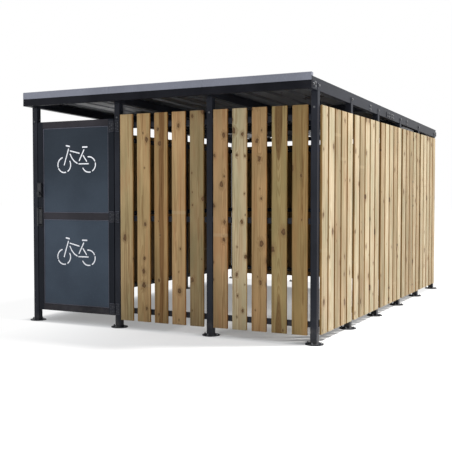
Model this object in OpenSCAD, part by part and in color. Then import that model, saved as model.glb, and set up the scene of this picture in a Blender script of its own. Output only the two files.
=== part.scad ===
// Bike shelter: a steel frame on round feet, walls of spaced upright boards,
// a ribbed roof falling to the rear, and one outward-opening door in the first front bay.
// X runs along the front, Y from front to rear, Z up; the origin is on the ground, midway.

/* [Plan] */
// Width of one front bay, post axis to post axis
bay_w = 1000; // [850:10:1400]
// Depth of one bay of the right wall, post axis to post axis
bay_d = 911; // [700:1:1300]

/* [Posts and feet] */
// Side of the square post tube
post = 60; // [50:1:100]
// Diameter of the round foot plate
foot_d = 160; // [150:1:260]
// Thickness of the foot plate
foot_t = 8; // [5:1:15]
// Diameter of the circle that the anchor holes lie on
anchor_pcd = 124; // [112:1:140]
// Diameter of an anchor hole
anchor_d = 12; // [8:1:16]

/* [Boards and rails] */
// Width of a board
board_w = 140; // [90:1:180]
// Thickness of a board
board_t = 21; // [15:1:35]
// Height of the boards' lower ends above the ground
board_low = 80; // [40:5:200]
// Height of the boards' upper ends above the ground
board_high = 2042; // [1500:1:2050]
// Height of the left and rear boards' upper ends, which stay behind the door's upper edge
far_board_high = 2010; // [1500:1:2050]
// Height of the left boards' lower ends, just under the lowest rail
left_board_low = 145; // [40:1:146]
// From a front post's axis to the edge of the nearest board
front_margin = 50; // [40:1:80]
// From a right post's axis to the edge of the nearest board
side_margin = 37; // [33:1:80]
// From a left post's axis to the edge of the nearest board, which laps the post
left_margin = 27; // [20:1:80]
// From a rear post's axis to the edge of the nearest board, which covers the post
rear_margin = 2; // [1:1:20]
// Least gap between two boards of the front and right walls
least_gap = 30; // [10:1:60]
// Least gap between two boards of the left and rear walls, which are nearly closed
far_least_gap = 2; // [2:1:60]
// Height of a rail
rail_h = 50; // [30:1:80]
// Depth of a rail behind the boards
rail_d = 30; // [20:1:50]
// From the boards' lower ends to the axis of the lowest rail
low_rail_inset = 93; // [50:1:300]
// From the boards' upper ends to the axis of the highest rail
high_rail_inset = 105; // [50:1:300]

/* [Roof] */
// Height of the roof beams' underside at the front post axis
eaves = 2158; // [2120:1:2800]
// Fall of the roof to the rear, in mm per metre
roof_fall = 21; // [5:1:22]
// Height of a roof beam
beam_h = 76; // [50:1:120]
// Width of a roof beam
beam_w = 50; // [30:1:56]
// Thickness of the front beam, from front to back
front_beam_w = 40; // [30:1:60]
// Height of the rear beam
rear_beam_h = 56; // [40:1:76]
// From the front posts' face to the front of the front beam
front_overhang = 140; // [80:1:300]
// From the rear posts' face to the front of the rear beam
rear_overhang = 55; // [30:1:200]
// Thickness of the lug that laps a beam on a post
lug_t = 3; // [2:1:5]
// Height of the lug
lug_h = 60; // [40:1:70]
// Height of a rib of the roof sheet
rib_h = 28; // [15:1:45]
// Ribs in each roof sheet
ribs = 5; // [3:1:8]
// Width of the flat top of a rib
rib_top = 36; // [20:1:60]
// Width of a rib's sloping side
rib_side = 18; // [8:1:30]
// Thickness of the roof sheet
sheet_t = 0.8; // [0.6:0.1:2]
// Gap between two roof sheets
sheet_gap = 1; // [0.5:0.5:5]
// Thickness of the roof's folded edge trims
trim_t = 1.5; // [1:0.5:3]
// Height of the front fascia above the ribs
fascia_rise = 30; // [10:1:60]
// How far the fascia laps the front beam
fascia_lap = 8; // [4:1:30]
// Depth of the fascia from front to back
fascia_d = 40; // [20:1:80]
// Width of the side trim's flat top
side_trim_w = 60; // [30:1:120]
// How far the side trim lies inside the beam's outer face
side_trim_inset = 5; // [2:1:20]

/* [Door] */
// Gap between the leaf and the posts beside it
door_gap = 8; // [6:1:15]
// Thickness of the leaf
door_t = 40; // [30:1:55]
// Height of the leaf's lower edge above the ground
door_low = 115; // [60:1:200]
// Height of the leaf's upper edge above the ground
door_high = 2010; // [1700:1:2060]
// Width of the leaf's stiles and rails
frame_w = 64; // [40:1:90]
// Height of the middle rail's axis above the ground
mid_rail_z = 1068; // [700:1:1300]
// Thickness of an infill panel
panel_t = 2; // [1:1:8]
// How far a panel lies behind the leaf's front face
panel_inset = 8; // [2:1:20]

/* [Door fittings] */
// Height of a hinge
hinge_h = 100; // [70:1:140]
// Radius of a hinge barrel
barrel_r = 8; // [7:1:12]
// Radius of a hinge pin
pin_r = 4.5; // [3:0.5:5]
// Running clearance between a pin and its barrel
pin_gap = 0.4; // [0.2:0.1:0.6]
// From the leaf's face to the hinge axis
hinge_out = 10; // [10:1:16]
// Thickness of a hinge plate
hinge_plate_t = 5; // [3:1:6]
// Width of a hinge plate
hinge_plate_w = 50; // [35:1:56]
// From the leaf's upper edge to the middle of the top hinge
top_hinge_inset = 74; // [60:1:200]
// From the leaf's lower edge to the middle of the bottom hinge
low_hinge_inset = 62; // [60:1:200]
// Length of the pull handle's back plate
pull_h = 190; // [140:1:300]
// Height of the pull handle's middle above the ground
pull_z = 1060; // [900:1:1200]
// Width of the pull handle's back plate
pull_w = 40; // [25:1:50]
// Thickness of the pull handle's back plate
pull_plate_t = 4; // [3:1:8]
// Radius of the grip
grip_r = 8; // [6:1:12]
// From the leaf's face to the grip's axis
grip_out = 48; // [40:1:70]
// Height of the lock case
lock_h = 142; // [100:1:200]
// Width of the lock case
lock_w = 46; // [30:1:56]
// Depth of the lock case
lock_d = 26; // [15:1:40]
// Height of the lock case's middle above the ground
lock_z = 1329; // [1250:1:1500]
// Radius of the lock's knob
knob_r = 17; // [10:1:22]
// Depth of the knob
knob_d = 22; // [10:1:30]

/* [Hidden] */
$fn = 48;
// Bays along the front, the first of which holds the door, and along the right and left walls;
// their numbers are fixed, because each bay has nodes of its own
bays_wide = 3;
right_bays = 5;
left_bays = 3;
// Extra length of a cutting shape
over = 1;
STEEL = "#34373f";
SLATE = "#80879a";
PANEL = "#3c444f";
WOOD = "#c9ab78";
BLACK = "#202226";

// Plan: post axes, and the roof's reach past them
width = bays_wide * bay_w;
depth = right_bays * bay_d;
left_bay_d = depth / left_bays;
fall_angle = atan(roof_fall / 1000);
beam_front = post / 2 + front_overhang;
rear_beam_y = depth + post / 2 + rear_overhang;
rear_beam_end = rear_beam_y + beam_w;
fascia_low = beam_h - fascia_lap;
front_reach = max(
    beam_front * cos(fall_angle),
    (beam_front + trim_t) * cos(fall_angle) - fascia_low * sin(fall_angle)
);
rear_reach = max(
    depth + foot_d / 2,
    rear_beam_end * cos(fall_angle) + beam_h * sin(fall_angle)
);
y_front = round(5 * (front_reach - rear_reach)) / 10;
y_rear = y_front + depth;
function post_x(i) = i * bay_w - width / 2;
function right_y(j) = y_front + j * bay_d;
function left_y(j) = y_front + j * left_bay_d;

// Roof, in its own tilted frame: z = 0 is the beams' underside
beam_out = width / 2 + post / 2 - lug_t;
rib_crest = beam_h + rib_h;
fascia_top = rib_crest + fascia_rise;
trim_out = beam_out - side_trim_inset;
sheet_front = beam_front - trim_t;
sheet_end = rear_beam_y + beam_w / 2;

// Walls
function board_count(bay, margin, least) = floor((bay - 2 * margin + least) / (board_w + least));
low_rail_z = board_low + low_rail_inset;
high_rail_z = board_high - high_rail_inset;
rail_heights = [low_rail_z, (low_rail_z + high_rail_z) / 2, high_rail_z];

// Door, in the first front bay: x from the latch post's axis, y = 0 at the posts' front face
leaf_left = post / 2 + door_gap;
leaf_right = bay_w - post / 2 - door_gap;
panel_left = leaf_left + frame_w;
panel_right = leaf_right - frame_w;
hinge_x = bay_w - post / 2 - door_gap / 2;
hinge_heights = [door_low + low_hinge_inset, mid_rail_z, door_high - top_hinge_inset];
barrel_gap = 1;
knuckle_h = hinge_h * 0.3;
plate_start = barrel_r + barrel_gap;
stile_mid = leaf_left + frame_w / 2;

// Places its children in the roof's frame: x across, y back from the front post axis
module on_roof() {
    translate([0, y_front, eaves]) rotate([-fall_angle, 0, 0]) children();
}

// Places its children in bay n of a wall: x along the wall from a post axis,
// y = 0 at the posts' outer face and outside at negative y
module in_bay(wall, n) {
    if (wall == "front") translate([post_x(n - 1), y_front - post / 2, 0]) children();
    if (wall == "rear") translate([post_x(n), y_rear + post / 2, 0]) rotate(180) children();
    if (wall == "right") translate([post_x(bays_wide) + post / 2, right_y(n - 1), 0]) rotate(90) children();
    if (wall == "left") translate([post_x(0) - post / 2, left_y(n), 0]) rotate(-90) children();
}

// A post from its foot plate up to the beams' sloping underside
module upright(x, y) {
    difference() {
        translate([x - post / 2, y - post / 2, foot_t])
            cube([post, post, eaves + beam_h]);
        on_roof() translate([-width, -width, 0]) cube([2 * width, depth + 2 * width, 3 * beam_h]);
    }
}

module front_post(n) {
    color(STEEL) upright(post_x(n - 1), y_front);
}

module left_posts() {
    color(STEEL) for (j = [1 : left_bays]) upright(post_x(0), left_y(j));
}

module right_posts() {
    color(STEEL) for (j = [1 : right_bays]) upright(post_x(bays_wide), right_y(j));
}

module rear_posts() {
    color(STEEL) for (i = [1 : bays_wide - 1]) upright(post_x(i), y_rear);
}

// A round plate with four anchor holes
module foot_plate() {
    difference() {
        cylinder(d = foot_d, h = foot_t);
        for (turn = [0 : 90 : 270]) rotate(turn)
            translate([anchor_pcd / 2, 0, -over]) cylinder(d = anchor_d, h = foot_t + 2 * over);
    }
}

module foot_plates() {
    color(STEEL) {
        for (i = [0 : bays_wide], y = [y_front, y_rear]) translate([post_x(i), y, 0]) foot_plate();
        for (j = [1 : right_bays - 1]) translate([post_x(bays_wide), right_y(j), 0]) foot_plate();
        for (j = [1 : left_bays - 1]) translate([post_x(0), left_y(j), 0]) foot_plate();
    }
}

// Flat lugs that carry each side post's outer face up over the beam
module beam_lugs() {
    color(STEEL) on_roof() {
        for (j = [0 : right_bays])
            translate([beam_out, j * bay_d - post / 2, 0]) cube([lug_t, post, lug_h]);
        for (j = [0 : left_bays])
            translate([-beam_out - lug_t, j * left_bay_d - post / 2, 0]) cube([lug_t, post, lug_h]);
    }
}

module front_beam() {
    color(STEEL) on_roof() translate([-beam_out, -beam_front, 0])
        cube([2 * beam_out, front_beam_w, beam_h]);
}

module rear_beam() {
    color(STEEL) on_roof() translate([-beam_out, rear_beam_y, beam_h - rear_beam_h])
        cube([2 * beam_out, beam_w, rear_beam_h]);
}

// A beam from the front beam to the rear beam, with its left face at x
module long_beam(x) {
    start = -beam_front + front_beam_w;
    on_roof() translate([x, start, 0]) cube([beam_w, rear_beam_y - start, beam_h]);
}

module left_beam() {
    color(STEEL) long_beam(-beam_out);
}

module right_beam() {
    color(STEEL) long_beam(beam_out - beam_w);
}

module rafters() {
    color(STEEL) for (i = [1 : bays_wide - 1]) long_beam(post_x(i) - beam_w / 2);
}

// Cross members at the thirds of the depth, cut between the long beams
module purlins() {
    edges = concat([-beam_out], [for (i = [1 : bays_wide - 1]) post_x(i) - beam_w / 2], [beam_out - beam_w]);
    color(STEEL) on_roof() for (third = [1, 2], i = [0 : bays_wide - 1])
        translate([edges[i] + beam_w, third * depth / 3 - beam_w / 2, 0])
            cube([edges[i + 1] - edges[i] - beam_w, beam_w, beam_h]);
}

// Upper outline of a roof sheet that starts and ends halfway over a rib
function sheet_line(w) = concat(
    [[0, rib_h]],
    [for (i = [0 : ribs - 1]) let (pitch = w / ribs, x = i * pitch)
        each [
            [x + rib_top / 2, rib_h],
            [x + rib_top / 2 + rib_side, sheet_t],
            [x + pitch - rib_top / 2 - rib_side, sheet_t],
            [x + pitch - rib_top / 2, rib_h]
        ]],
    [[w, rib_h]]
);
function lowered(line) = [for (i = [len(line) - 1 : -1 : 0]) line[i] - [0, sheet_t]];

module roof_sheets() {
    cuts = concat([-trim_out + trim_t], [for (i = [1 : bays_wide - 1]) post_x(i)], [trim_out - trim_t]);
    color(SLATE) on_roof() for (i = [0 : bays_wide - 1]) {
        start = cuts[i] + sheet_gap / 2;
        line = sheet_line(cuts[i + 1] - cuts[i] - sheet_gap);
        translate([start, sheet_end, beam_h]) rotate([90, 0, 0])
            linear_extrude(sheet_end + sheet_front) polygon(concat(line, lowered(line)));
    }
}

// Section of the fascia: a front leg over the beam, a flat top and a short rear leg on the ribs
module fascia_section() {
    difference() {
        translate([0, fascia_low]) square([fascia_d, fascia_top - fascia_low]);
        translate([trim_t, fascia_low - over])
            square([fascia_d - 2 * trim_t, fascia_top - fascia_low - trim_t + over]);
        translate([trim_t, fascia_low - over]) square([fascia_d, rib_crest - fascia_low + over]);
    }
}

module front_fascia() {
    cuts = concat([-beam_out], [for (i = [1 : bays_wide - 1]) post_x(i)], [beam_out]);
    color(SLATE) on_roof() for (i = [0 : bays_wide - 1])
        translate([cuts[i] + sheet_gap / 2, -beam_front - trim_t, 0]) rotate([90, 0, 90])
            linear_extrude(cuts[i + 1] - cuts[i] - sheet_gap) fascia_section();
    color(SLATE) on_roof() for (side = [0, 1]) mirror([side, 0, 0])
        translate([beam_out - sheet_gap / 2 - trim_t, -beam_front - trim_t, rib_crest])
            cube([trim_t, fascia_d, fascia_rise]);
}

// Folded angles that close the sheets' outer edges; their flat tops start behind the fascia
module roof_side_trims() {
    top_start = -beam_front + fascia_d;
    color(STEEL) on_roof() for (side = [0, 1]) mirror([side, 0, 0]) {
        translate([trim_out - trim_t, -sheet_front, beam_h])
            cube([trim_t, sheet_end + sheet_front, rib_h]);
        translate([trim_out - side_trim_w, top_start, rib_crest])
            cube([side_trim_w, sheet_end - top_start, trim_t]);
    }
}

// Three rails between the two posts of a bay
module bay_rails(bay) {
    for (z = rail_heights) translate([post / 2, 0, z - rail_h / 2]) cube([bay - post, rail_d, rail_h]);
}

// The boards of one bay, evenly spaced between the margins at no less than the least gap
module bay_boards(bay, margin, high = board_high, least = least_gap, low = board_low) {
    count = board_count(bay, margin, least);
    gap = (bay - 2 * margin - count * board_w) / (count - 1);
    for (k = [0 : count - 1])
        translate([margin + k * (board_w + gap), -board_t, low])
            cube([board_w, board_t, high - low]);
}

module front_rails() {
    color(STEEL) for (n = [2 : bays_wide]) in_bay("front", n) bay_rails(bay_w);
}

module right_rails() {
    color(STEEL) for (n = [1 : right_bays]) in_bay("right", n) bay_rails(bay_d);
}

module left_rails() {
    color(STEEL) for (n = [1 : left_bays]) in_bay("left", n) bay_rails(left_bay_d);
}

module rear_rails() {
    color(STEEL) for (n = [1 : bays_wide]) in_bay("rear", n) bay_rails(bay_w);
}

module front_boards(n) {
    color(WOOD) in_bay("front", n) bay_boards(bay_w, front_margin);
}

module rear_boards(n) {
    color(WOOD) in_bay("rear", n) bay_boards(bay_w, rear_margin, far_board_high, far_least_gap);
}

module right_boards(n) {
    color(WOOD) in_bay("right", n) bay_boards(bay_d, side_margin);
}

module left_boards(n) {
    color(WOOD) in_bay("left", n)
        bay_boards(left_bay_d, left_margin, far_board_high, far_least_gap, left_board_low);
}

// Places its children at each hinge: z = 0 at its lower end, the pin along z
module at_hinges() {
    for (z = hinge_heights) in_bay("front", 1) translate([hinge_x, -hinge_out, z - hinge_h / 2]) children();
}

// Fixed half of each hinge: a plate on the post, two barrels and the pin
module post_hinges() {
    color(STEEL) at_hinges() {
        translate([plate_start, hinge_out - hinge_plate_t, 0])
            cube([hinge_plate_w, hinge_plate_t, hinge_h]);
        for (z = [0, hinge_h - knuckle_h]) translate([0, 0, z]) {
            cylinder(r = barrel_r, h = knuckle_h);
            translate([0, hinge_out - hinge_plate_t, 0]) cube([plate_start, hinge_plate_t, knuckle_h]);
        }
        cylinder(r = pin_r, h = hinge_h);
    }
}

// Moving half of each hinge: a plate on the leaf and a bored middle barrel
module door_hinges() {
    middle_h = hinge_h - 2 * knuckle_h - 2 * barrel_gap;
    color(STEEL) at_hinges() difference() {
        union() {
            translate([-plate_start - hinge_plate_w, hinge_out - hinge_plate_t, 0])
                cube([hinge_plate_w, hinge_plate_t, hinge_h]);
            translate([0, 0, knuckle_h + barrel_gap]) {
                cylinder(r = barrel_r, h = middle_h);
                translate([-plate_start, hinge_out - hinge_plate_t, 0])
                    cube([plate_start, hinge_plate_t, middle_h]);
            }
        }
        translate([0, 0, -over]) cylinder(r = pin_r + pin_gap, h = hinge_h + 2 * over);
    }
}

// Welded leaf frame: two stiles and three rails
module door_frame() {
    color(STEEL) in_bay("front", 1) {
        for (x = [leaf_left, panel_right])
            translate([x, 0, door_low]) cube([frame_w, door_t, door_high - door_low]);
        for (z = [door_low, mid_rail_z - frame_w / 2, door_high - frame_w])
            translate([panel_left, 0, z]) cube([panel_right - panel_left, door_t, frame_w]);
    }
}

// A flat sheet that fills the leaf's frame between two heights
module door_panel(low, high) {
    color(PANEL) in_bay("front", 1) translate([panel_left, panel_inset, low])
        cube([panel_right - panel_left, panel_t, high - low]);
}

module door_panel_upper() {
    door_panel(mid_rail_z + frame_w / 2, door_high - frame_w);
}

module door_panel_lower() {
    door_panel(door_low + frame_w, mid_rail_z - frame_w / 2);
}

// Fixed pull: a back plate, two arms and an upright grip
module door_pull() {
    arm_h = pull_h / 2 - grip_r - pull_plate_t;
    color(BLACK) in_bay("front", 1) translate([stile_mid, 0, pull_z]) {
        translate([-pull_w / 2, -pull_plate_t, -pull_h / 2]) cube([pull_w, pull_plate_t, pull_h]);
        for (z = [-arm_h, arm_h]) translate([0, 0, z]) rotate([90, 0, 0]) cylinder(r = grip_r, h = grip_out);
        translate([0, -grip_out, -arm_h - grip_r]) cylinder(r = grip_r, h = 2 * (arm_h + grip_r));
    }
}

// Surface lock: a case with a round knob
module door_lock() {
    color(BLACK) in_bay("front", 1) translate([stile_mid, 0, lock_z]) {
        translate([-lock_w / 2, -lock_d, -lock_h / 2]) cube([lock_w, lock_d, lock_h]);
        translate([0, -lock_d, -lock_h / 4]) rotate([90, 0, 0]) cylinder(r = knob_r, h = knob_d);
    }
}

front_post(1);  // front_post_1
front_post(2);  // front_post_2
front_post(3);  // front_post_3
front_post(4);  // front_post_4
left_posts();
right_posts();
rear_posts();
foot_plates();
beam_lugs();
front_beam();
rear_beam();
left_beam();
right_beam();
rafters();
purlins();
roof_sheets();
front_fascia();
roof_side_trims();
front_rails();
left_rails();
right_rails();
rear_rails();
front_boards(2);  // front_boards_2
front_boards(3);  // front_boards_3
left_boards(1);  // left_boards_1
left_boards(2);  // left_boards_2
left_boards(3);  // left_boards_3
right_boards(1);  // right_boards_1
right_boards(2);  // right_boards_2
right_boards(3);  // right_boards_3
right_boards(4);  // right_boards_4
right_boards(5);  // right_boards_5
rear_boards(1);  // rear_boards_1
rear_boards(2);  // rear_boards_2
rear_boards(3);  // rear_boards_3
post_hinges();
door_frame();
door_panel_upper();
door_panel_lower();
door_hinges();
door_pull();
door_lock();
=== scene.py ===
# %% [markdown]
# # Bike shelter
# The real object is a shed-sized bicycle store: a powder-coated steel frame, walls of upright
# treated-pine boards with daylight between them, a ribbed steel roof, and a steel door.
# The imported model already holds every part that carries, joins or moves. This lesson gives
# those parts their finish and adds what a maker would still fit: welds, bolts, screws, beads.
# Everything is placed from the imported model's own boxes, so it follows if a size changes.

# %% Load the frame and note its box
import math
import random

import bmesh
import bpy
from mathutils import Matrix, Vector


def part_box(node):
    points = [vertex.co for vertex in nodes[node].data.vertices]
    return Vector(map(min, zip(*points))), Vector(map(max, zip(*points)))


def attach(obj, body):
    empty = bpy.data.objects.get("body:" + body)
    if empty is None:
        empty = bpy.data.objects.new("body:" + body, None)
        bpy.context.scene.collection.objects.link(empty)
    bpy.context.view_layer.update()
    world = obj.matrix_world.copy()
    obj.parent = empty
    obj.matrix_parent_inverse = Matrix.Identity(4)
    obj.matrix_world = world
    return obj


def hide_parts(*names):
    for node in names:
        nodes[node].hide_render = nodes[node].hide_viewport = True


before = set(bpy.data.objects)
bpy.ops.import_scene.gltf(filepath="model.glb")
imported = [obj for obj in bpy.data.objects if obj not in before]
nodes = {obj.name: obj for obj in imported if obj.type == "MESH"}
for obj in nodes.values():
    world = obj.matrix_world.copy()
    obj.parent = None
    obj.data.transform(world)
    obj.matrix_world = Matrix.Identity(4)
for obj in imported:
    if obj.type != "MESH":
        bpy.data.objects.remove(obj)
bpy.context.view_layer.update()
bpy.context.scene.view_settings.view_transform = "Standard"

# %% [markdown]
# The shelter is laid out on a grid of posts. Reading that grid from the model's boxes gives
# every later step its bearings: post axes along the front and the sides, the faces that
# bolts sit on, and the tilted frame of the roof, which falls gently to the rear.

# %% The grid of posts
MM = 0.001
FRONT_POSTS = ["front_post_1", "front_post_2", "front_post_3", "front_post_4"]


def middle(name):
    """The middle of a node's box."""
    low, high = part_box(name)
    return (low + high) / 2


def bays_of(wall):
    """The names of a wall's board nodes, one to a bay."""
    return [name for name in sorted(nodes) if name.startswith(wall + "_boards")]


corner_low, corner_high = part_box("front_post_4")
POST = corner_high.x - corner_low.x
SIDE_BAYS = len(bays_of("right"))
LEFT_BAYS = len(bays_of("left"))
front_y = middle("front_post_4").y
rear_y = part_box("right_posts")[1].y - POST / 2
post_x = [middle(name).x for name in FRONT_POSTS]
post_y = [front_y + (rear_y - front_y) * j / SIDE_BAYS for j in range(SIDE_BAYS + 1)]
foot_top = corner_low.z
front_face = corner_low.y
print("post axes across", [round(x, 3) for x in post_x])
print("post axes front to rear", [round(y, 3) for y in post_y])

# %% The roof's tilted frame
beam_points = [vertex.co for vertex in nodes["right_beam"].data.vertices]
under_front = min(beam_points, key=lambda point: point.z + point.y)
under_rear = min(beam_points, key=lambda point: point.z - point.y * 0.5)
beam_out = max(point.x for point in beam_points)
beam_in = min(point.x for point in beam_points)
beam_start = Vector((0, under_front.y, under_front.z))
beam_end = Vector((0, under_rear.y, under_rear.z))
back_along = (beam_end - beam_start).normalized()
roof_up = Vector((1, 0, 0)).cross(back_along)
roof_turn = Matrix((Vector((1, 0, 0)), back_along, roof_up)).transposed().to_4x4()
axis_run = (front_y - under_front.y) / back_along.y
roof_origin = beam_start + back_along * axis_run
roof_frame = Matrix.Translation(roof_origin) @ roof_turn
print("roof falls", round(-1000 * back_along.z / back_along.y, 1), "mm per metre")

# %% [markdown]
# The camera stands off the right front corner at chest height and looks along the front
# wall. It is placed from the corner post, so the view keeps if the shelter grows. A
# moderate telephoto keeps the long side wall from stretching.

# %% Camera
EYE_FROM_CORNER = Vector((2.340, -6.335, 1.279))
TURN_LEFT = 26.705
LOOK_DOWN = 2.254
LENS = 62.9


def new_object(name, data):
    """An object made of that data and linked to the scene."""
    made = bpy.data.objects.new(name, data)
    bpy.context.scene.collection.objects.link(made)
    return made


camera_data = bpy.data.cameras.new("camera")
camera_data.lens = LENS
camera_data.sensor_width = 36
camera = new_object("camera", camera_data)
camera.location = Vector((post_x[-1], front_y, 0)) + EYE_FROM_CORNER
camera.rotation_euler = (math.radians(90 - LOOK_DOWN), 0, math.radians(TURN_LEFT))
bpy.context.scene.camera = camera
print("camera at", [round(value, 3) for value in camera.location])

# %% [markdown]
# Materials are node trees. Small helpers keep each recipe readable: one adds a node and
# fills its inputs, one does arithmetic, one mixes colours. A new node joins the tree that
# its inputs come from, so only the first nodes of a recipe name their tree.

# %% Helpers for node trees
def new_material(name):
    """A material with an empty tree but for its shader, and that tree and shader."""
    material = bpy.data.materials.new(name)
    material.use_nodes = True
    tree = material.node_tree
    shader = tree.nodes["Principled BSDF"]
    return material, tree, shader


def fill(tree, node, inputs):
    """Links a node's inputs where they get a socket, and sets them where they get a value."""
    for key, value in inputs.items():
        if isinstance(value, bpy.types.NodeSocket):
            tree.links.new(value, node.inputs[key])
        else:
            node.inputs[key].default_value = value


def add(tree, kind, inputs=None, **settings):
    """Adds a shader node, then sets its settings and fills its inputs."""
    made = tree.nodes.new("ShaderNode" + kind)
    for name, value in settings.items():
        setattr(made, name, value)
    fill(tree, made, inputs or {})
    return made


def follow(kind, inputs, **settings):
    """Adds a node to the tree that its linked inputs come from; gives its first output."""
    sockets = [value for value in inputs.values() if isinstance(value, bpy.types.NodeSocket)]
    return add(sockets[0].id_data, kind, inputs, **settings).outputs[0]


def calc(operation, *values):
    """The result of one step of arithmetic on sockets and numbers."""
    return follow("Math", dict(enumerate(values)), operation=operation)


def times(first, second):
    return calc("MULTIPLY", first, second)


def scaled(value, factor, base):
    """base plus value times factor."""
    return calc("MULTIPLY_ADD", value, factor, base)


def mix(share, first, second, mode="MIX"):
    """Two colours mixed by a share."""
    inputs = {0: share, 6: first, 7: second}
    return follow("Mix", inputs, data_type="RGBA", blend_type=mode).node.outputs[2]


def filtered(colour, layer):
    """A colour seen through another, as through tinted glass."""
    return mix(1.0, colour, layer, "MULTIPLY")


def fade(value, start, end):
    """0 where value is at start, 1 where it is at end, smooth between."""
    inputs = {"Value": value, 1: start, 2: end, 3: 0.0, 4: 1.0}
    return follow("MapRange", inputs, interpolation_type="SMOOTHSTEP")


def cloud(vector, scale, detail=3.0):
    """Smooth noise from 0 to 1 at a number of lumps per metre."""
    return follow("TexNoise", {"Vector": vector, "Scale": scale, "Detail": detail})


def drawn(vector, lumps, detail=3.0):
    """Noise drawn out: its lumps per metre differ from axis to axis."""
    return cloud(follow("VectorMath", {0: vector, 1: lumps}, operation="MULTIPLY"), 1.0, detail)


def waver(value, noise, amount):
    """A value pushed up and down by a noise, by half the amount either way."""
    return scaled(calc("SUBTRACT", noise, 0.5), amount, value)


def parts_of(vector):
    """The x, y and z of a vector."""
    return follow("SeparateXYZ", {0: vector}).node.outputs[:3]


def grey(level):
    return (level, level, level, 1)


def roughen(tree, shader, height, depth):
    """Feeds a height to the shader as fine relief, depth metres deep."""
    bump = add(tree, "Bump", {"Height": height, "Distance": depth, "Strength": 1.0})
    tree.links.new(bump.outputs[0], shader.inputs["Normal"])


print("node helpers ready")

# %% [markdown]
# **Powder coat.** The frame is baked polyester powder over zinc: nearly black, satin, with
# a faint orange-peel skin. A flat black would look like a hole, so the colour drifts a
# little, dust dulls the lowest part, and the skin breaks up reflections.

# %% Powder-coated steel
DUST = (0.24, 0.22, 0.19, 1)
# Painted shade for a door's stiles
STILE_SHADE = (0.002, 0.005, 0.010, 1)


def powder_coat(name, colour, roughness=0.42, drift=0.22, gloss=0.12, painted_shade_up=0.0, rails=None):
    """painted_shade_up is painted shade that darkens the coat with height. rails is a middle and a
    half
    width: what lies further aside than that is a stile, given painted shade so it is darker."""
    material, tree, shader = new_material(name)
    place = add(tree, "TexCoord").outputs["Object"]
    broad = cloud(place, 2.3, 4.0)
    fine = cloud(place, 60.0, 3.0)
    light = [min(1.0, channel * (1 + drift) + 0.004) for channel in colour]
    dark = [channel * (1 - drift) for channel in colour]
    body = mix(fade(broad, 0.3, 0.7), (*dark, 1), (*light, 1))
    speck = times(fade(fine, 0.56, 0.74), 0.18)
    body = mix(speck, body, (*[channel * 1.9 + 0.01 for channel in colour], 1))
    height = parts_of(place)[2]
    low_dust = times(fade(height, 0.28, 0.0), 0.17)
    settled = times(low_dust, fade(cloud(place, 14.0), 0.35, 0.75))
    body = mix(settled, body, DUST)
    # Painted shade: the coat darkens towards the top
    if painted_shade_up:
        upper = times(fade(height, 0.7, 1.9), painted_shade_up)
        body = mix(upper, body, grey(0.0))
    # Painted shade: a door's stiles darker than its rails
    if rails:
        aside = calc("SUBTRACT", parts_of(place)[0], rails[0])
        aside = calc("ABSOLUTE", aside)
        stile = times(fade(aside, rails[1], rails[1] + 0.001), 0.8)
        body = mix(stile, body, STILE_SHADE)
    worn = scaled(broad, 0.16, roughness - 0.08)
    worn = scaled(settled, 0.3, worn)
    fill(tree, shader, {"Base Color": body, "Roughness": worn, "Specular IOR Level": gloss})
    roughen(tree, shader, cloud(place, 520.0, 2.0), 0.00012)
    return material


door_low, door_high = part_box("door_frame")
door_middle = (door_low.x + door_high.x) / 2
STILE_WIDE = 64 * MM
rail_reach = door_high.x - door_middle - STILE_WIDE
frame_coat = powder_coat("frame_anthracite", (0.0105, 0.0122, 0.0180))
# The door's stiles get painted shade, darker than its rails
door_coat = powder_coat(
    "door_anthracite", (0.0220, 0.0205, 0.0255), roughness=0.46, rails=(door_middle, rail_reach)
)
# The panels darken upwards: painted shade, as under the roof's front overhang
panel_coat = powder_coat("panel_slate", (0.0385, 0.0540, 0.0760), drift=0.10, painted_shade_up=0.52)
fascia_coat = powder_coat("fascia_slate", (0.152, 0.160, 0.194), roughness=0.34, drift=0.10)
# The front beam's coat is darker than the frame's: painted shade, as it sits in the fascia's shade
front_beam_shade_coat = powder_coat("front_beam_painted_shade", (0.0062, 0.0066, 0.0095), gloss=0.05)
hinge_coat = powder_coat("hinge_black", (0.013, 0.0145, 0.021), roughness=0.36, gloss=0.2)
bead_coat = powder_coat("bead_grey", (0.055, 0.058, 0.080), roughness=0.34, gloss=0.3)
print("powder coats ready")

# %% [markdown]
# **Bare metals.** Bolts, nuts and screws are zinc-plated: bright, but clouded and scuffed.
# The pull and the lock are black-oxide steel and cast zinc, smoother than the frame. The
# roof sheets are coil-coated: even in colour, with long faint marks from the rolls.

# %% Bolt, lock and roof metals
ROOF_GRIME = (0.16, 0.16, 0.15, 1)
SCUFF = 0.25


def plated_metal(name, colour, roughness, metallic=1.0):
    material, tree, shader = new_material(name)
    place = add(tree, "TexCoord").outputs["Object"]
    cloudy = cloud(place, 45.0, 5.0)
    streaks = drawn(place, (900, 900, 60))
    dull = [channel * (1 - SCUFF) for channel in colour]
    tone = mix(fade(cloudy, 0.35, 0.65), (*dull, 1), (*colour, 1))
    worn = scaled(streaks, 0.2, roughness - 0.1)
    fill(tree, shader, {"Base Color": tone, "Metallic": metallic, "Roughness": worn})
    roughen(tree, shader, streaks, 0.00004)
    return material


def coil_coat(name, colour):
    material, tree, shader = new_material(name)
    place = add(tree, "TexCoord").outputs["Object"]
    rolled = drawn(place, (40, 0.8, 40), 4.0)
    grime = cloud(place, 3.1, 6.0)
    light = [channel * 1.14 for channel in colour]
    body = mix(fade(rolled, 0.3, 0.7), (*colour, 1), (*light, 1))
    grimy = times(fade(grime, 0.5, 0.8), 0.35)
    body = mix(grimy, body, ROOF_GRIME)
    worn = scaled(grime, 0.22, 0.2)
    fill(tree, shader, {"Base Color": body, "Metallic": 0.5, "Roughness": worn})
    roughen(tree, shader, rolled, 0.00008)
    return material


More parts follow.
